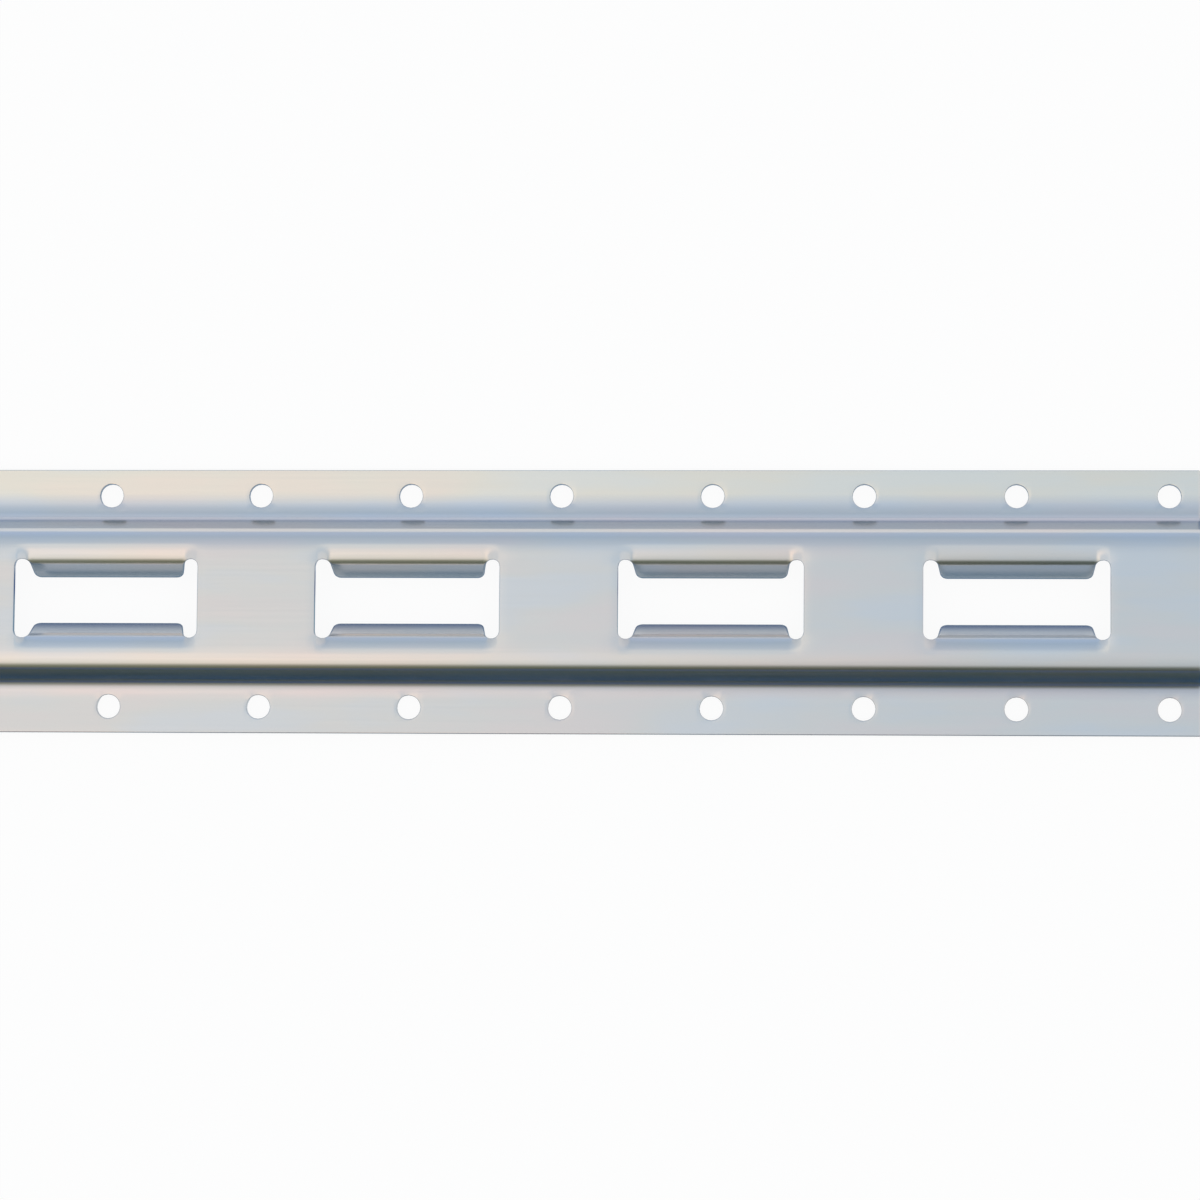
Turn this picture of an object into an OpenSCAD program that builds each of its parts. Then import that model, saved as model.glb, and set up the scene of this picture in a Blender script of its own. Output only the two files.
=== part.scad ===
// Vertical E-track: a slotted hat-section rail of zinc-plated steel sheet, lying on its flanges.
// X runs along the rail, Y across it, Z up from the floor; the origin is under its middle.
// All sizes are in millimetres and all angles in degrees.

/* [Rail] */
// length the rail is cut to
track_length = 1524; // [304.8:0.1:3048]
// width over both flanges
track_width = 88.9; // [86:0.1:120]
// height of the crown above the floor
track_height = 12.7; // [11.5:0.1:16]
// thickness of the sheet
sheet = 2.66; // [1.5:0.01:3.2]

/* [Section] */
// width of the flat part of the crown
crown_flat = 35.6; // [33.2:0.1:45]
// slope of the side walls, measured from the flanges
wall_angle = 52.5; // [42:0.5:65]
// outer radius of the two bends along the crown
crown_bend_r = 7.2; // [5:0.1:9]
// radius in the hollow of the two bends at the flanges
flange_bend_r = 8; // [1:0.1:9]

/* [Slots] */
// distance from slot to slot
slot_pitch = 101.6; // [90:0.1:150]
// length of a slot over its two relief slits
slot_length = 62; // [45:0.1:75]
// opening between the free edges of the two lips
slot_mouth = 15.2; // [12:0.1:18]
// width of a relief slit
relief_width = 4.4; // [3:0.1:6]
// length of a relief slit across the crown
relief_length = 26.2; // [22:0.1:29]

/* [Lips] */
// distance between the lines where the two lips start to bend down
lip_start = 35.6; // [32:0.1:40]
// outer radius of a lip's bend
lip_bend_r = 8; // [5:0.1:9.5]
// slope of a lip, measured from the crown
lip_angle = 52; // [40:0.5:60]
// radius of the two free corners of a lip
lip_corner_r = 2.2; // [1:0.1:5]
// slope of the two ends of a lip, which draw in towards its free edge
lip_lean = 15; // [0:0.5:25]

/* [Screw holes] */
// distance from hole to hole along a flange
hole_pitch = 50.8; // [25.4:0.1:150]
// diameter of a hole
hole_d = 7.94; // [4:0.01:9]
// distance from a hole's centre to the long edge of its flange
hole_edge = 8.73; // [6:0.01:9]
// distance from the right end of the rail to the first pair of holes
end_margin = 10.16; // [8:0.01:30]

/* [Hidden] */
$fn = 96;
// flat steps that each bend is made of
bend_steps = 10;
// clearance by which a cutting tool passes through the sheet
through = 1;
// distance by which the outline of a lip passes outside its free edge
lip_skim = 0.3;
// least plain sheet between the last slot or hole and the left end
end_land = 5;
// straight part of a wall, left between its two bends
wall_drop = track_height - sheet - (crown_bend_r + flange_bend_r) * (1 - cos(wall_angle));
wall_length = wall_drop / sin(wall_angle);
// middle of a crown bend, and of the flange bend that follows it
crown_bend_y = crown_flat / 2;
flange_bend_y = crown_bend_y + (crown_bend_r + flange_bend_r) * sin(wall_angle)
    + wall_length * cos(wall_angle);
// line where a lip starts to bend, kept on the flat of the crown
lip_y = min(lip_start, crown_flat) / 2;
// fall of a lip's straight leg, from the end of its bend to its free edge
leg_run = lip_y - lip_bend_r * sin(lip_angle) - slot_mouth / 2;
lip_z = track_height - lip_bend_r * (1 - cos(lip_angle)) - leg_run * tan(lip_angle);
// length of a lip between the two relief slits
lip_length = slot_length - 2 * relief_width;
// rows of slots and of holes, counted from the right end
slot_first = track_length / 2 - end_margin - slot_pitch / 2;
slot_room = track_length / 2 + slot_first - slot_length / 2 - end_land;
slot_count = floor(slot_room / slot_pitch) + 1;
hole_first = track_length / 2 - end_margin;
hole_room = track_length / 2 + hole_first - hole_d / 2 - end_land;
hole_count = floor(hole_room / hole_pitch) + 1;
hole_y = track_width / 2 - hole_edge;

track();

// The whole rail: a bent sheet with its screw holes, slots and lips.
module track() {
    color([0.76, 0.77, 0.79]) {
        difference() {
            bent_sheet();
            at_slots() window();
            at_slots() relief_slits();
            screw_holes();
        }
        at_slots() lips();
    }
}

// Points along an arc, in flat steps.
function arc(centre, r, from, to) = [
    for (i = [0 : bend_steps])
        let (a = from + (to - from) * i / bend_steps)
            centre + r * [cos(a), sin(a)]
];

// Half of the hat section: out along its upper face, and back along its lower face.
function half_section() =
    let (
        crown_centre = [crown_bend_y, track_height - crown_bend_r],
        flange_centre = [flange_bend_y, sheet + flange_bend_r],
        turn = wall_angle
    )
    concat(
        arc(crown_centre, crown_bend_r, 90, 90 - turn),
        arc(flange_centre, flange_bend_r, 270 - turn, 270),
        [[track_width / 2, sheet], [track_width / 2, 0]],
        arc(flange_centre, flange_bend_r + sheet, 270, 270 - turn),
        arc(crown_centre, crown_bend_r - sheet, 90 - turn, 90)
    );

// A row of points mirrored to the other side of the rail, in reverse order.
function mirrored(points) = [
    for (i = [len(points) - 1 : -1 : 0])
        [-points[i][0], points[i][1]]
];

// The section of a lip: down its upper face to the free edge, and back up its lower face.
function lip_section() =
    let (
        centre = [lip_y, track_height - lip_bend_r],
        edge = [slot_mouth / 2, lip_z]
    )
    concat(
        arc(centre, lip_bend_r, 90, 90 + lip_angle),
        [edge, edge + sheet * [sin(lip_angle), -cos(lip_angle)]],
        arc(centre, lip_bend_r - sheet, 90 + lip_angle, 90)
    );

// The outline of a lip seen from above: its ends draw in from the ends of the relief slits on, and its
// two free corners are rounded. Its lower edge passes just outside the lip, so that only the ends and
// the corners cut.
function lip_outline() =
    let (
        half = lip_length / 2,
        shoulder = relief_length / 2,
        y = slot_mouth / 2 - lip_skim + lip_corner_r,
        x = half - (lip_corner_r + (shoulder - y) * sin(lip_lean)) / cos(lip_lean)
    )
    concat(
        [[half, lip_y + through], [-half, lip_y + through], [-half, shoulder]],
        arc([-x, y], lip_corner_r, 180 + lip_lean, 270),
        arc([x, y], lip_corner_r, 270, 360 - lip_lean),
        [[half, shoulder]]
    );

// Draws a section out along the rail, evenly to both sides of its middle.
module along_rail(length) {
    rotate([90, 0, 90])
        linear_extrude(length, center = true)
            children();
}

// The hat section drawn out to the length of the rail.
module bent_sheet() {
    along_rail(track_length)
        polygon(concat(half_section(), mirrored(half_section())));
}

// Puts its children at every slot.
module at_slots() {
    for (i = [0 : slot_count - 1])
        translate([slot_first - i * slot_pitch, 0, 0])
            children();
}

// The opening in the crown that takes the two lips.
module window() {
    translate([0, 0, track_height])
        cube([lip_length, 2 * lip_y, 2 * (sheet + through)], center = true);
}

// The two slits that free the ends of the lips, with full round ends.
module relief_slits() {
    straight = relief_length - relief_width;
    for (x = [-1, 1])
        translate([x * (slot_length - relief_width) / 2, 0, 0])
            linear_extrude(track_height + through) {
                square([relief_width, straight], center = true);
                for (y = [-1, 1])
                    translate([0, y * straight / 2])
                        circle(relief_width / 2);
            }
}

// The two lips of a slot, bent down towards the floor on either side of its mouth.
module lips() {
    for (turn = [0, 180])
        rotate([0, 0, turn])
            intersection() {
                along_rail(lip_length + 2 * through)
                    polygon(lip_section());
                linear_extrude(track_height + through)
                    polygon(lip_outline());
            }
}

// Two rows of screw holes, one through each flange.
module screw_holes() {
    for (i = [0 : hole_count - 1], side = [-1, 1])
        translate([hole_first - i * hole_pitch, side * hole_y, -through])
            cylinder(h = track_height + through, d = hole_d);
}
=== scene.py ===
import math

import bpy
import numpy as np
from mathutils import Matrix, Vector


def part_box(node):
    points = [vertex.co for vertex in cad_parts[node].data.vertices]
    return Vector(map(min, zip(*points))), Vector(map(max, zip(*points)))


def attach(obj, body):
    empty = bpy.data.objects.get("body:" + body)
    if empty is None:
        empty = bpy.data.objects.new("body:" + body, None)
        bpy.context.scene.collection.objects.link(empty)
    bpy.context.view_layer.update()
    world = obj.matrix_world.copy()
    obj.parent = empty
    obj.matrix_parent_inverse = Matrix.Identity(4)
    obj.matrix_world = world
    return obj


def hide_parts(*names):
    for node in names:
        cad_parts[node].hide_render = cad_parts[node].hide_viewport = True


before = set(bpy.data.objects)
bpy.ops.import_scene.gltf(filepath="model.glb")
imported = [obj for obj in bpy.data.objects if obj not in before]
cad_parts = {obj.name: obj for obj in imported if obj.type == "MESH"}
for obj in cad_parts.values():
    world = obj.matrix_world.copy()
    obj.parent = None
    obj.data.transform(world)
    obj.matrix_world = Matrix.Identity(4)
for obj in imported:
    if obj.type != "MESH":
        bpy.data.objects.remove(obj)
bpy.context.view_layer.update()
scene = bpy.context.scene
scene.view_settings.view_transform = "Standard"
mm = 0.001  # m
trackLow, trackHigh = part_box("track")
print("frame loaded:", ", ".join(sorted(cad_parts)))


# An sRGB hex colour in linear light: c / 12.92 in the darkest part, ((c + 0.055) / 1.055) ^ 2.4 above it.
def linearColour(hexText):
    srgb = np.array([int(hexText[i:i + 2], 16) for i in (1, 3, 5)]) / 255
    linear = np.where(srgb <= 0.04045, srgb / 12.92, ((srgb + 0.055) / 1.055) ** 2.4)
    return (*linear.tolist(), 1.0)


# Adds a node with its settings; an input that is a socket is linked, any other value is set.
def addNode(tree, kind, settings=None, inputs=None):
    node = tree.nodes.new(kind)
    for name, value in (settings or {}).items():
        setattr(node, name, value)
    for name, value in (inputs or {}).items():
        if isinstance(value, bpy.types.NodeSocket):
            tree.links.new(value, node.inputs[name])
        else:
            node.inputs[name].default_value = value
    return node


# Gives a colour ramp its stops: position and hex colour.
def setStops(ramp, stops):
    elements = ramp.color_ramp.elements
    while len(elements) < len(stops):
        elements.new(1.0)
    for element, (position, hexText) in zip(elements, stops):
        element.position = position
        element.color = linearColour(hexText)


# Colours in bands: a length in m picks its colour from stops that are given in mm.
def addBands(tree, length, stops):
    low, high = stops[0][0], stops[-1][0]
    share = addNode(tree, "ShaderNodeMapRange", None, {
        "Value": length, "From Min": low * mm, "From Max": high * mm})
    ramp = addNode(tree, "ShaderNodeValToRGB", None, {"Fac": share.outputs["Result"]})
    setStops(ramp, [((stop - low) / (high - low), hexText) for stop, hexText in stops])
    return ramp.outputs["Color"]


# Camera: above the crown, a little to the right of the middle of the view and to its near side.
cameraPlace = {
    "fromRightEnd": 200.3,   # mm, the aimed point, measured back from the right end
    "fromMiddle": 0.85,      # mm, the aimed point, to the far side
    "toRight": 120.0,        # mm, camera from the aimed point
    "toNear": 172.0,         # mm
    "height": 1744.0,        # mm
    "lens": 157.0,           # mm
    "sensor": 36.0,          # mm
    "farthest": 100.0,       # m, nothing beyond it is drawn
    "roll": 0.505,           # degrees
}


# The camera's axes: forward to the aimed point, right = forward x across, up = right x forward.
def makeCamera(place):
    target = Vector((trackHigh.x - place["fromRightEnd"] * mm, place["fromMiddle"] * mm, 0.0))
    offset = Vector((place["toRight"], -place["toNear"], place["height"])) * mm
    forward = -offset.normalized()
    right = forward.cross(Vector((0.0, 1.0, 0.0))).normalized()
    up = right.cross(forward)
    turned = Matrix((right, up, -forward)).transposed()
    data = bpy.data.cameras.new("camera")
    data.lens = place["lens"]
    data.sensor_width = place["sensor"]
    data.clip_end = place["farthest"]
    camera = bpy.data.objects.new("camera", data)
    camera.matrix_world = (Matrix.Translation(target + offset) @ turned.to_4x4()
                           @ Matrix.Rotation(math.radians(place["roll"]), 4, "Z"))
    scene.collection.objects.link(camera)
    scene.camera = camera
    print("camera set")


makeCamera(cameraPlace)

# The rail: one blank of sheet, pierced flat and then formed, all in mm.
railSheet = {
    "thickness": 2.66,
    "crownFlat": 35.6,       # flat part of the crown, were its bends plain arcs
    "wallAngle": 52.5,       # degrees from the flanges
    "crownBend": 7.2,        # outer radius
    "crownEase": 5.0,        # half the stretch over which the crown bends tighten to that radius
    "bendSamples": 8,        # places on the way along a crown bend that give its mean directions
    "flangeBend": 8.0,       # radius in the hollow
    "slotPitch": 101.6,
    "slotLength": 62.0,      # over the two relief slits
    "slitWidth": 4.4,
    "slitLength": 26.2,
    "mouth": 15.2,           # between the free edges of the lips
    "lipBend": 8.0,          # outer radius
    "lipAngle": 52.0,        # degrees from the crown
    "lipCorner": 2.2,        # radius of the free corners
    "lipLean": 15.0,         # degrees, the ends of a lip lean in towards its free edge
    "lipSpread": 0.06,       # per mm, how fast the lip's bend spreads out past the end of a slit
    "holePitch": 50.8,
    "holeDiameter": 7.94,
    "holeEdge": 8.73,        # hole centre to the long edge
    "endMargin": 10.16,      # right end to the first pair of holes
    "holeBlend": 5.3,        # ring round a hole where the grid turns from round to square
    "slitBlend": 5.2,        # the same round the end of a slit
    "endClear": 0.5,         # grid lines nearer than this to an end are left out
    "edgeRound": 0.3,        # rounding that punching and plating leave on every cut edge
    "edgeSteps": 2,          # faces across that rounding
    "edgeAngle": 60.0,       # degrees, an edge that turns by more is a cut edge
    "flatLead": 100,         # how far large faces lead the shading of their edges, at most 100
}


# The run and the drop of the crown bend R after some way along it: its angle a grows as way^2 / (4 e R)
# over the first 2 e and as (way - e) / R from there, and the means of cos a and sin a give the two.
def bendCrown(way, rail):
    ease = rail["crownEase"]
    places, weights = np.polynomial.legendre.leggauss(rail["bendSamples"])
    part = np.asarray(way)[..., None] * (places + 1) / 2
    a = np.where(part < 2 * ease, part ** 2 / (4 * ease), part - ease) / rail["crownBend"]
    return way * (np.cos(a) @ weights) / 2, way * (np.sin(a) @ weights) / 2


# Lengths that follow from the settings. Along the section they are measured on the upper face, out
# from the middle: crown, crown bend (radius x angle + ease), straight wall, flange bend, flange. The wall
# and the flange lie where a plain arc from the crown's flat would put them.
def railLengths(rail):
    size = dict(rail)
    size["length"], size["width"], size["height"] = ((trackHigh - trackLow) / mm)
    turn = math.radians(rail["wallAngle"])
    depth = size["height"] - rail["thickness"]
    bends = rail["crownBend"] + rail["flangeBend"]
    flangeY = rail["crownFlat"] / 2 + bends * math.sin(turn)
    flangeY = flangeY + (depth - bends * (1 - math.cos(turn))) / math.tan(turn)
    size["turn"] = turn
    size["bendLength"] = rail["crownBend"] * turn + rail["crownEase"]
    run, drop = bendCrown(size["bendLength"], rail)
    size["wall"] = (depth - drop - rail["flangeBend"] * (1 - math.cos(turn))) / math.sin(turn)
    size["bendStart"] = flangeY - rail["flangeBend"] * math.sin(turn) - size["wall"] * math.cos(turn) - run
    size["wallTop"] = size["bendStart"] + size["bendLength"]
    size["wallFoot"] = size["wallTop"] + size["wall"]
    size["flangeStart"] = size["wallFoot"] + rail["flangeBend"] * turn
    size["blankEdge"] = size["flangeStart"] + size["width"] / 2 - flangeY
    size["holeRow"] = size["blankEdge"] - rail["holeEdge"]
    size["holeRadius"] = rail["holeDiameter"] / 2
    size["lipTurn"] = math.radians(rail["lipAngle"])
    size["lipLine"] = rail["crownFlat"] / 2
    size["lipBendEnd"] = size["lipLine"] - rail["lipBend"] * size["lipTurn"]
    legRun = size["lipLine"] - rail["lipBend"] * math.sin(size["lipTurn"]) - rail["mouth"] / 2
    size["lipEdge"] = size["lipBendEnd"] - legRun / math.cos(size["lipTurn"])
    size["slotHalf"] = rail["slotLength"] / 2
    size["lipHalf"] = size["slotHalf"] - rail["slitWidth"]
    size["slitMiddle"] = size["slotHalf"] - rail["slitWidth"] / 2
    size["slitEnd"] = rail["slitLength"] / 2
    size["slitRound"] = size["slitEnd"] - rail["slitWidth"] / 2
    size["holeFirst"] = size["length"] / 2 - rail["endMargin"]
    size["slotFirst"] = size["holeFirst"] - rail["slotPitch"] / 2
    return size


# Grid lines through a row of stops, each stretch cut into its own number of equal steps.
def gridLines(start, *stretches):
    lines = [np.array([start])]
    for stop, count in stretches:
        lines.append(np.linspace(lines[-1][-1], stop, count + 1)[1:])
    return np.concatenate(lines)


# Distance to the nearest of a row of places: the remainder of x by the pitch, taken to either side.
def fromNearest(x, first, pitch):
    return (x - first + pitch / 2) % pitch - pitch / 2


# Grid lines along the rail: one pattern of lines from a slot's middle to halfway to the next slot,
# mirrored, repeated at every slot and cut off at the two ends.
def linesAlong(size):
    radius, blend, half = size["holeRadius"], size["holeBlend"], size["slotPitch"] / 2
    corner = size["lipHalf"] - size["lipCorner"]
    side = gridLines(
        0.0, (radius, 3), (blend, 1), (corner, 2), (size["lipHalf"], 3), (size["slotHalf"], 4),
        (size["slitMiddle"] + size["slitBlend"], 1), (half - blend, 3), (half - radius, 1), (half, 3))
    pattern = np.concatenate([-side[:0:-1], side])
    count = math.ceil(size["length"] / size["slotPitch"]) + 1
    slots = size["slotFirst"] - size["slotPitch"] * np.arange(-1, count)
    lines = np.unique((slots[:, None] + pattern).round(6))
    end = size["length"] / 2
    return np.concatenate([[-end], lines[abs(lines) < end - size["endClear"]], [end]])


# Grid lines across the blank, from one long edge to the other, closest where the sheet bends.
def linesAcross(size):
    row, radius, blend = size["holeRow"], size["holeRadius"], size["holeBlend"]
    side = gridLines(
        size["lipEdge"], (size["lipEdge"] + size["lipCorner"], 3), (size["lipBendEnd"], 1),
        (size["slitRound"], 1), (size["slitEnd"], 2), (size["lipLine"], 3),
        (size["wallTop"], 6), (size["wallFoot"], 1), (row - blend, 4),
        (row - radius, 1), (row + radius, 6), (row + blend, 1), (size["blankEdge"], 1))
    return np.concatenate([-side[::-1], side])


# Draws a square ring of the grid in to a circle. With m the larger of |p| and |q|, a point moves to
# (p, q) times 1 + share (m / hypot(p, q) - 1), so that at share 1 the square of side 2m is a circle.
def squareToCircle(p, q, share):
    nearZero = 1e-9
    largest = np.maximum(abs(p), abs(q))
    scale = 1 + share * (largest / np.maximum(np.hypot(p, q), nearZero) - 1)
    return p * scale, q * scale


# The pierced blank: the grid drawn in to circles round the screw holes, to half circles at the ends
# of the slits and to quarter circles at the corners of the lips. Each share falls off to 0.
def pierceBlank(x, v, size):
    side, s = np.sign(v), abs(v)
    p, q = fromNearest(x, size["holeFirst"], size["holePitch"]), s - size["holeRow"]
    reach = np.maximum(abs(p), abs(q))
    share = np.clip((size["holeBlend"] - reach) / (size["holeBlend"] - size["holeRadius"]), 0, 1)
    newP, newQ = squareToCircle(p, q, share)
    x, s = x + newP - p, s + newQ - q

    slot = fromNearest(x, size["slotFirst"], size["slotPitch"])
    p, q = abs(slot) - size["slitMiddle"], s - size["slitRound"]
    reach = np.maximum(abs(p), abs(q))
    share = np.clip((size["slitBlend"] - reach) / (size["slitBlend"] - size["slitWidth"] / 2), 0, 1)
    newP, newQ = squareToCircle(p, q, np.where(q > 0, share, 0))
    x, s = x + np.sign(slot) * (newP - p), s + newQ - q

    p = abs(slot) - (size["lipHalf"] - size["lipCorner"])
    q = size["lipEdge"] + size["lipCorner"] - s
    reach = np.maximum(abs(p), abs(q)) / size["lipCorner"]
    justOver = 1.001  # takes in the lip's own edges in spite of rounding
    inCorner = (p > 0) & (q > 0) & (reach < justOver)
    newP, newQ = squareToCircle(p, q, np.where(inCorner, reach, 0))
    return x + np.sign(slot) * (newP - p), side * (s - newQ + q)


# How much of a lip's bend is left at a place: 1 along the lip, falling smoothly to 0 past its end. Beside
# a slit that is in the slit's own width w, and past the slit over w + spread x (way past its straight)^2.
def lipShare(x, s, size):
    slot = abs(fromNearest(x, size["slotFirst"], size["slotPitch"]))
    reach = size["slitWidth"] + size["lipSpread"] * np.maximum(s - size["slitRound"], 0) ** 2
    out = np.clip((slot - size["lipHalf"]) / reach, 0, 1)
    return 1 - out * out * (3 - 2 * out)


# The hat section, for s along the upper face from the middle. The flat, the crown bend's run and drop, the
# length w of wall, the angle b turned in the flange bend r and the length f of flange give
# y = flat + run + w cos t + r (sin t - sin(t - b)) + f and
# z = height - drop - w sin t - r (cos(t - b) - cos t).
def hatSection(s, size):
    turn, inner = size["turn"], size["flangeBend"]
    run, drop = bendCrown(np.clip(s - size["bendStart"], 0, size["bendLength"]), size)
    w = np.clip(s - size["wallTop"], 0, size["wall"])
    b = np.clip(s - size["wallFoot"], 0, inner * turn) / inner
    f = np.maximum(s - size["flangeStart"], 0)
    y = np.minimum(s, size["bendStart"]) + run + w * math.cos(turn) + f
    y = y + inner * (math.sin(turn) - np.sin(turn - b))
    z = size["height"] - drop - w * math.sin(turn)
    z = z - inner * (np.cos(turn - b) - math.cos(turn))
    return y, z


# A lip bent down inside the lip's line: an arc of length c turned by a gives a run of c sin(a) / a
# and a drop of c (1 - cos a) / a, and the leg after it goes on at the full angle. The angle is whole
# along the lip and runs out to nothing across the relief slits, so the bend dies away round their ends.
def bendLip(inwards, whole, size):
    curve = np.minimum(inwards, size["lipBend"] * size["lipTurn"])
    leg = inwards - curve
    a = whole * curve / size["lipBend"]
    run = curve * np.sinc(a / np.pi) + leg * np.cos(whole * size["lipTurn"])
    drop = curve * (a / 2) * np.sinc(a / (2 * np.pi)) ** 2 + leg * np.sin(whole * size["lipTurn"])
    return run, drop


# The formed sheet: the pierced blank with x kept, and y and z from the hat section. Inside the lip's line a
# place counts for the section as moved out to that line by the share of the lip's bend, and then y is less
# by the lip's run and z by its drop. From the ends of the slits on, a lip's x is drawn in to its middle by
# tan(lean) times the rest of the run, in full at the lip's two ends.
def formSheet(x, v, size):
    side, s = np.sign(v), abs(v)
    whole = lipShare(x, s, size)
    inwards = np.maximum(size["lipLine"] - s, 0)
    run, drop = bendLip(inwards, whole, size)
    y, z = hatSection(s + whole * inwards, size)
    slitRun, _ = bendLip(size["lipLine"] - size["slitEnd"], 1.0, size)
    slot = fromNearest(x, size["slotFirst"], size["slotPitch"])
    lean = math.tan(math.radians(size["lipLean"])) * np.maximum(run - slitRun, 0)
    x = x - np.where(s < size["slitEnd"], whole * lean * slot / size["lipHalf"], 0)
    return np.stack([x, side * (y + (1 - whole) * inwards - run), z - drop], axis=-1)


# Which faces of the flat grid are sheet: all but those inside a hole, a slit or the mouth of a slot.
def sheetFaces(along, across, size):
    x = (along[1:, None] + along[:-1, None]) / 2
    s = abs(across[None, 1:] + across[None, :-1]) / 2
    hole = abs(fromNearest(x, size["holeFirst"], size["holePitch"])) < size["holeRadius"]
    hole = hole & (abs(s - size["holeRow"]) < size["holeRadius"])
    slot = abs(fromNearest(x, size["slotFirst"], size["slotPitch"]))
    slit = (slot > size["lipHalf"]) & (slot < size["slotHalf"]) & (s < size["slitEnd"])
    mouth = (slot < size["lipHalf"]) & (s < size["lipEdge"])
    return ~(hole | slit | mouth)


# The rail's mesh: the upper face as quads of the grid, then its thickness and its rounded cut edges.
def makeRail(rail, material):
    size = railLengths(rail)
    along, across = linesAlong(size), linesAcross(size)
    x, v = np.meshgrid(along, across, indexing="ij")
    points = formSheet(*pierceBlank(x, v, size), size) * mm
    points[..., 2] += trackLow.z
    number = np.arange(x.size).reshape(x.shape)
    corners = [number[:-1, :-1], number[1:, :-1], number[1:, 1:], number[:-1, 1:]]
    quads = np.stack(corners, axis=-1)[sheetFaces(along, across, size)]
    used, faces = np.unique(quads, return_inverse=True)
    mesh = bpy.data.meshes.new("rail_sheet")
    mesh.from_pydata(points.reshape(-1, 3)[used].tolist(), [], faces.reshape(-1, 4).tolist())
    mesh.polygons.foreach_set("use_smooth", np.ones(len(mesh.polygons), dtype=bool))
    mesh.update()
    piece = bpy.data.objects.new("rail_sheet", mesh)
    scene.collection.objects.link(piece)
    mesh.materials.append(material)

    wall = piece.modifiers.new("sheet thickness", "SOLIDIFY")
    wall.thickness = rail["thickness"] * mm
    wall.offset = -1.0
    wall.use_even_offset = True
    edge = piece.modifiers.new("cut edges", "BEVEL")
    edge.width = rail["edgeRound"] * mm
    edge.segments = rail["edgeSteps"]
    edge.limit_method = "ANGLE"
    edge.angle_limit = math.radians(rail["edgeAngle"])
    shade = piece.modifiers.new("flat faces stay flat", "WEIGHTED_NORMAL")
    shade.weight = rail["flatLead"]
    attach(piece, "root")
    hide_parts("track")
    print("rail formed:", len(mesh.polygons), "faces in the blank")


# Clear zinc plate on cold-rolled steel: a bright, faintly blue metal with a satin gloss, soft patches
# of blue, pink and straw where the clear passivate is thicker, and fine lines along the rolling.
zincPlate = {
    "base": "#e0dcd3",
    "cool": "#dcdcd8",
    "warm": "#e4dbd2",
    "patchSize": (70.0, 16.0),  # mm along and across, drifts of colour in the passivate
    "patchSpan": (0.36, 0.5, 0.64),  # values of their noise that are cool, base and warm
    # painted shade and light by mm from the middle: a faint blue passivate tint all over, darker bands
    # painted
    #     # in the two hollow bends to dim their reflections, and the far flange painted lighter, without
    #     tint
    "paintedShadeAndLight": [(-33, "#ecf1fc"), (-29, "#dbe3fa"), (-26, "#ecf1fc"), (26.3, "#ecf1fc"),
                  (27.1, "#ccd7f0"), (27.7, "#ccd7f0"), (28.6, "#f6f8fe"), (33, "#e3ecfe"),
                  (36.5, "#ffffff")],
    "streakLength": 70.0,    # mm, rolling lines
    "streakWidth": 0.9,      # mm, drawn coarser than real so that it shows
    "streakSpan": (0.3, 0.7),  # values of their noise that are glossiest and dullest
    "grainSize": 0.7,        # mm, texture of the plating, coarser than real so that it shows
    "roughness": (0.15, 0.2),
    "grainDepth": 0.004,     # mm
    "waveSize": 30.0,        # mm, slight waves left by the forming rolls
    "waveDepth": 0.01,       # mm
}
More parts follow.
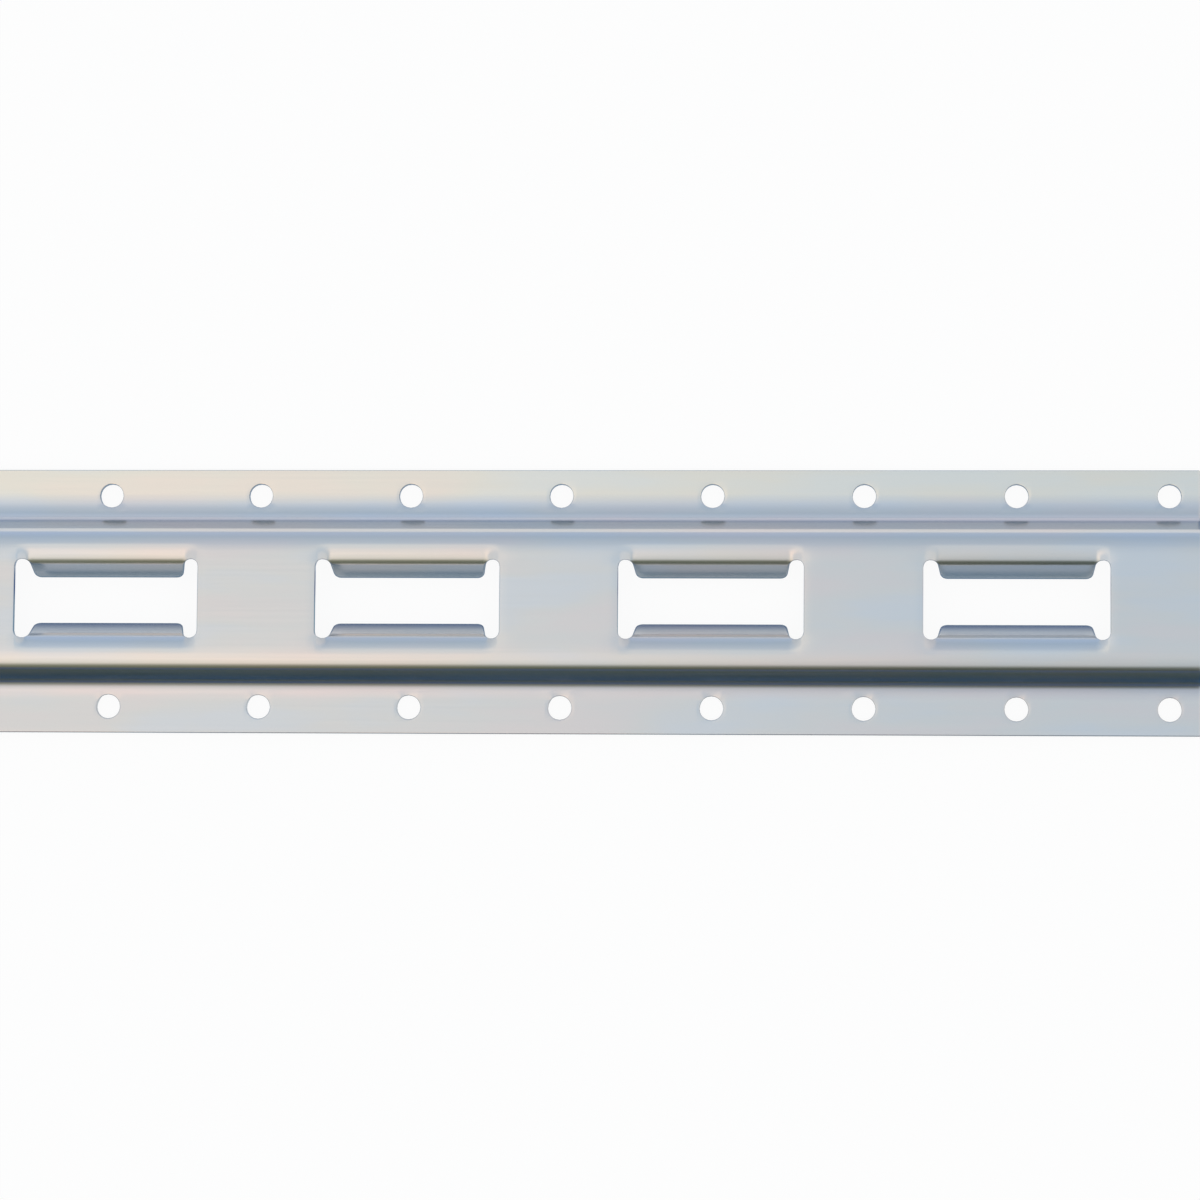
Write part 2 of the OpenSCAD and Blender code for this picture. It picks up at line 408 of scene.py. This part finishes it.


# Its colour is the patches' tint times the painted shade and light across the rail, its roughness follows
# the
# # streaks, and its relief is the fine grain on top of the slow waves.
def makeZincPlate(zinc):
    material = bpy.data.materials.new("clear zinc plate on cold-rolled steel")
    material.use_nodes = True
    tree = material.node_tree
    shader = tree.nodes["Principled BSDF"]
    shader.inputs["Metallic"].default_value = 1.0
    place = addNode(tree, "ShaderNodeTexCoord").outputs["Object"]
    patchLong, patchWide = zinc["patchSize"]
    stretched = addNode(tree, "ShaderNodeMapping", None, {"Vector": place, "Scale": (
        1 / (patchLong * mm), 1 / (patchWide * mm), 1 / (patchWide * mm))})
    patches = addNode(tree, "ShaderNodeTexNoise", None, {
        "Vector": stretched.outputs["Vector"], "Scale": 1.0, "Detail": 3.0, "Roughness": 0.5})
    tint = addNode(tree, "ShaderNodeValToRGB", None, {"Fac": patches.outputs["Fac"]})
    setStops(tint, list(zip(zinc["patchSpan"], (zinc["cool"], zinc["base"], zinc["warm"]))))
    across = addNode(tree, "ShaderNodeSeparateXYZ", None, {"Vector": place}).outputs["Y"]
    # painted shade in the hollow bends and painted light on the far flange, by y
    paintedBands = addBands(tree, across, zinc["paintedShadeAndLight"])
    plate = addNode(tree, "ShaderNodeMix", {"data_type": "RGBA", "blend_type": "MULTIPLY"}, {
        0: 1.0, 6: tint.outputs["Color"], 7: paintedBands})
    tree.links.new(plate.outputs[2], shader.inputs["Base Color"])

    along = addNode(tree, "ShaderNodeMapping", None, {"Vector": place, "Scale": (
        1 / (zinc["streakLength"] * mm), 1 / (zinc["streakWidth"] * mm), 1 / (zinc["streakWidth"] * mm))})
    streaks = addNode(tree, "ShaderNodeTexNoise", None, {
        "Vector": along.outputs["Vector"], "Scale": 1.0, "Detail": 2.0})
    gloss = addNode(tree, "ShaderNodeMapRange", None, {
        "Value": streaks.outputs["Fac"],
        "From Min": zinc["streakSpan"][0], "From Max": zinc["streakSpan"][1],
        "To Min": zinc["roughness"][0], "To Max": zinc["roughness"][1]})
    tree.links.new(gloss.outputs["Result"], shader.inputs["Roughness"])

    waves = addNode(tree, "ShaderNodeTexNoise", None, {
        "Vector": place, "Scale": 1 / (zinc["waveSize"] * mm), "Detail": 0.0})
    swell = addNode(tree, "ShaderNodeBump", None, {
        "Height": waves.outputs["Fac"], "Strength": 1.0, "Distance": zinc["waveDepth"] * mm})
    grain = addNode(tree, "ShaderNodeTexNoise", None, {
        "Vector": place, "Scale": 1 / (zinc["grainSize"] * mm), "Detail": 2.0})
    relief = addNode(tree, "ShaderNodeBump", None, {
        "Height": grain.outputs["Fac"], "Strength": 1.0, "Distance": zinc["grainDepth"] * mm,
        "Normal": swell.outputs["Normal"]})
    tree.links.new(relief.outputs["Normal"], shader.inputs["Normal"])
    print("zinc plate made")
    return material


makeRail(railSheet, makeZincPlate(zincPlate))

# Studio: a white floor, a glowing card under the rail painted with tones that only reflections see, and a
# # soft dome whose colour changes slowly round the rail.
studio = {
    "floorSize": 60.0,       # m
    "floorGap": 1.0,         # mm under the rail
    "floorColour": "#f2f2f2",
    "plainWhite": "#ffffff",  # what the camera sees round the rail
    "floorGlow": 0.93,       # share of the floor that is plain white, the rest takes the shadow
    "cardGap": 0.5,          # mm under the rail
    "cardLength": 2.0,       # m
    "cardNear": 60.0,        # mm from the middle of the rail, where the card is folded up
    "cardFold": 13.7,        # mm, height of the fold
    "cardFar": 200.0,        # mm from the middle of the rail, where it ends on the far side
    "domeLevel": 1.6,
    "warmth": (0.02, -0.14),  # X of a direction where the light is coolest, and where it is warmest
    "tintMiddle": -0.07,     # X of a direction in the middle of the tinted light
    "plainness": (0.13, 0.3),  # X from there where the light starts to lose its tints, and has lost them
    # the card's glowing tones, painted reflections, by mm along it from the middle of the rail, - to the
    # near side and up
    "paintedReflectionTones": [
        (-74, "#5c6c86"), (-67, "#4c5c70"), (-65, "#5c665e"), (-64.2, "#6c745c"), (-62.9, "#283426"),
        (-61.8, "#08282c"), (-61, "#0a3c54"), (-60, "#4474b0"), (-52, "#54709c"), (-47, "#42565e"),
        (-44, "#d4dade"), (-28, "#d4dade"), (-22, "#7f9cb0"), (0, "#7f9cb0"), (5, "#4c6090"),
        (10, "#6c82a4"), (14, "#ccd8e2"), (18, "#ffffff"), (22, "#ffffff"), (28, "#a4b6c8"),
        (44, "#7890ac"), (53, "#8c9cb0"), (61, "#ffffff"), (200, "#ffffff"),
    ],
    # the dome by degrees from straight up, + to the far side and - to the near side
    "domeCool": [
        (-120, "#a8acb0"), (-87, "#30372f"), (-77, "#40463e"), (-67, "#5c625c"), (-55, "#aab0b2"),
        (-20, "#b8bfc4"), (0, "#b8c1c8"), (10, "#b8c1c8"), (25, "#a8b4c0"), (52, "#9aa9b8"),
        (68, "#a0b0c4"), (80, "#a6b2c2"), (85, "#d2d4d6"), (92, "#d2d4d6"), (120, "#a8acb0"),
    ],
    "domeWarm": [
        (-120, "#a8acb0"), (-87, "#52564a"), (-77, "#646652"), (-66, "#8c8a78"), (-54, "#e0d6c6"),
        (-35, "#f2e4d6"), (-20, "#ecdfd4"), (0, "#d7d4d0"), (10, "#d5d4d1"), (25, "#b6bec6"),
        (52, "#a0aebc"), (68, "#a4b2c6"), (80, "#a8b4c4"), (85, "#d4d4d4"), (92, "#d4d4d4"),
        (120, "#a8acb0"),
    ],
    "domePlain": [
        (-120, "#a8acb0"), (-90, "#8a8e90"), (-70, "#a6a8a8"), (-48, "#c8c8c6"), (0, "#c8cacb"),
        (40, "#b2b8be"), (70, "#b2b7bd"), (90, "#bcbfc4"), (120, "#a8acb0"),
    ],
}


# A sheet of the stage: a profile of points (y, z) carried along X by the same length to both sides.
def makeSheet(name, half, profile):
    line = np.array(profile)
    ends = np.repeat([-half, half], len(line))
    points = np.column_stack([ends, np.tile(line, (2, 1))])
    first = np.arange(len(line) - 1)
    faces = np.column_stack([first, first + len(line), first + len(line) + 1, first + 1])
    mesh = bpy.data.meshes.new(name)
    mesh.from_pydata(points.tolist(), [], faces.tolist())
    sheet = bpy.data.objects.new(name, mesh)
    scene.collection.objects.link(sheet)
    return sheet


# Matt white floor: plain white to the eye and in reflections, with a share of real shading for the shadow.
def makeFloor(stage):
    half, level = stage["floorSize"] / 2, trackLow.z - stage["floorGap"] * mm
    floor = makeSheet("floor", half, [(-half, level), (half, level)])
    material = bpy.data.materials.new("matt white floor")
    material.use_nodes = True
    tree = material.node_tree
    tree.nodes.clear()
    ray = addNode(tree, "ShaderNodeLightPath").outputs
    seen = addNode(tree, "ShaderNodeMath", {"operation": "ADD"}, {
        0: ray["Is Camera Ray"], 1: ray["Is Glossy Ray"]})
    seen = addNode(tree, "ShaderNodeMath", {"operation": "ADD", "use_clamp": True}, {
        0: seen.outputs[0], 1: ray["Is Transmission Ray"]})
    share = addNode(tree, "ShaderNodeMath", {"operation": "MULTIPLY"}, {
        0: seen.outputs[0], 1: stage["floorGlow"]})
    matt = addNode(tree, "ShaderNodeBsdfDiffuse", None, {"Color": linearColour(stage["floorColour"])})
    white = addNode(tree, "ShaderNodeEmission", None, {
        "Color": linearColour(stage["plainWhite"]), "Strength": 1.0})
    lit = addNode(tree, "ShaderNodeMixShader", None, {
        0: share.outputs[0], 1: matt.outputs[0], 2: white.outputs[0]})
    # from below the floor is clear, so the underside can be looked at
    back = addNode(tree, "ShaderNodeNewGeometry").outputs["Backfacing"]
    clear = addNode(tree, "ShaderNodeBsdfTransparent")
    whole = addNode(tree, "ShaderNodeMixShader", None, {0: back, 1: lit.outputs[0], 2: clear.outputs[0]})
    addNode(tree, "ShaderNodeOutputMaterial", None, {"Surface": whole.outputs[0]})
    floor.data.materials.append(material)


# Glowing card: lies under the rail and beside it, out of the camera's sight and folded up on the near side.
# # It glows with painted reflections, darker and lighter bands that stand in for the shaded floor under the
# # rail and the surrounds, for the metal to mirror, by y - z, the way along the card across the rail.
def makeCard(stage):
    near, far = -stage["cardNear"] * mm, stage["cardFar"] * mm
    level = trackLow.z - stage["cardGap"] * mm
    card = makeSheet("card", stage["cardLength"] / 2, [
        (near, level + stage["cardFold"] * mm), (near, level), (far, level)])
    card.visible_camera = False
    card.visible_diffuse = False
    card.visible_shadow = False
    card.visible_transmission = False
    material = bpy.data.materials.new("glowing card of painted reflections")
    material.use_nodes = True
    tree = material.node_tree
    tree.nodes.clear()
    place = addNode(tree, "ShaderNodeTexCoord").outputs["Object"]
    parts = addNode(tree, "ShaderNodeSeparateXYZ", None, {"Vector": place}).outputs
    across = addNode(tree, "ShaderNodeMath", {"operation": "SUBTRACT"}, {0: parts["Y"], 1: parts["Z"]})
    bands = addBands(tree, across.outputs[0], stage["paintedReflectionTones"])
    # painted reflection tones, glowing the same whatever light or shadow falls on the card
    glow = addNode(tree, "ShaderNodeEmission", None, {"Color": bands, "Strength": 1.0})
    addNode(tree, "ShaderNodeOutputMaterial", None, {"Surface": glow.outputs[0]})
    card.data.materials.append(material)


# The dome: a ray's angle round the rail, atan2(y, z), picks a colour from three rows of stops. Its share
# along -X mixes the cool row with the warm one, and far along X either way it mixes in the plain one. The
# camera sees plain white in its place.
def makeDome(stage):
    world = bpy.data.worlds.new("soft dome")
    world.use_nodes = True
    scene.world = world
    tree = world.node_tree
    tree.nodes.clear()
    direction = addNode(tree, "ShaderNodeTexCoord").outputs["Generated"]
    parts = addNode(tree, "ShaderNodeSeparateXYZ", None, {"Vector": direction}).outputs
    angle = addNode(tree, "ShaderNodeMath", {"operation": "ARCTAN2"}, {0: parts["Y"], 1: parts["Z"]})
    turn = addNode(tree, "ShaderNodeMapRange", None, {
        "Value": angle.outputs[0], "From Min": -math.pi, "From Max": math.pi})
    rows = []
    for name in ("domeCool", "domeWarm", "domePlain"):
        row = addNode(tree, "ShaderNodeValToRGB", None, {"Fac": turn.outputs["Result"]})
        setStops(row, [((degrees + 180) / 360, hexText) for degrees, hexText in stage[name]])
        rows.append(row.outputs["Color"])
    warmth = addNode(tree, "ShaderNodeMapRange", {"interpolation_type": "SMOOTHSTEP"}, {
        "Value": parts["X"], "From Min": stage["warmth"][0], "From Max": stage["warmth"][1]})
    tinted = addNode(tree, "ShaderNodeMix", {"data_type": "RGBA"}, {
        0: warmth.outputs["Result"], 6: rows[0], 7: rows[1]})
    offset = addNode(tree, "ShaderNodeMath", {"operation": "SUBTRACT"}, {
        0: parts["X"], 1: stage["tintMiddle"]})
    sideways = addNode(tree, "ShaderNodeMath", {"operation": "ABSOLUTE"}, {0: offset.outputs[0]})
    plainness = addNode(tree, "ShaderNodeMapRange", {"interpolation_type": "SMOOTHSTEP"}, {
        "Value": sideways.outputs[0], "From Min": stage["plainness"][0],
        "From Max": stage["plainness"][1]})
    light = addNode(tree, "ShaderNodeMix", {"data_type": "RGBA"}, {
        0: plainness.outputs["Result"], 6: tinted.outputs[2], 7: rows[2]})
    dome = addNode(tree, "ShaderNodeBackground", None, {
        "Color": light.outputs[2], "Strength": stage["domeLevel"]})
    white = addNode(tree, "ShaderNodeBackground", None, {
        "Color": linearColour(stage["plainWhite"]), "Strength": 1.0})
    seen = addNode(tree, "ShaderNodeLightPath").outputs["Is Camera Ray"]
    whole = addNode(tree, "ShaderNodeMixShader", None, {0: seen, 1: dome.outputs[0], 2: white.outputs[0]})
    addNode(tree, "ShaderNodeOutputWorld", None, {"Surface": whole.outputs[0]})


makeFloor(studio)
makeCard(studio)
makeDome(studio)
print("studio lit")
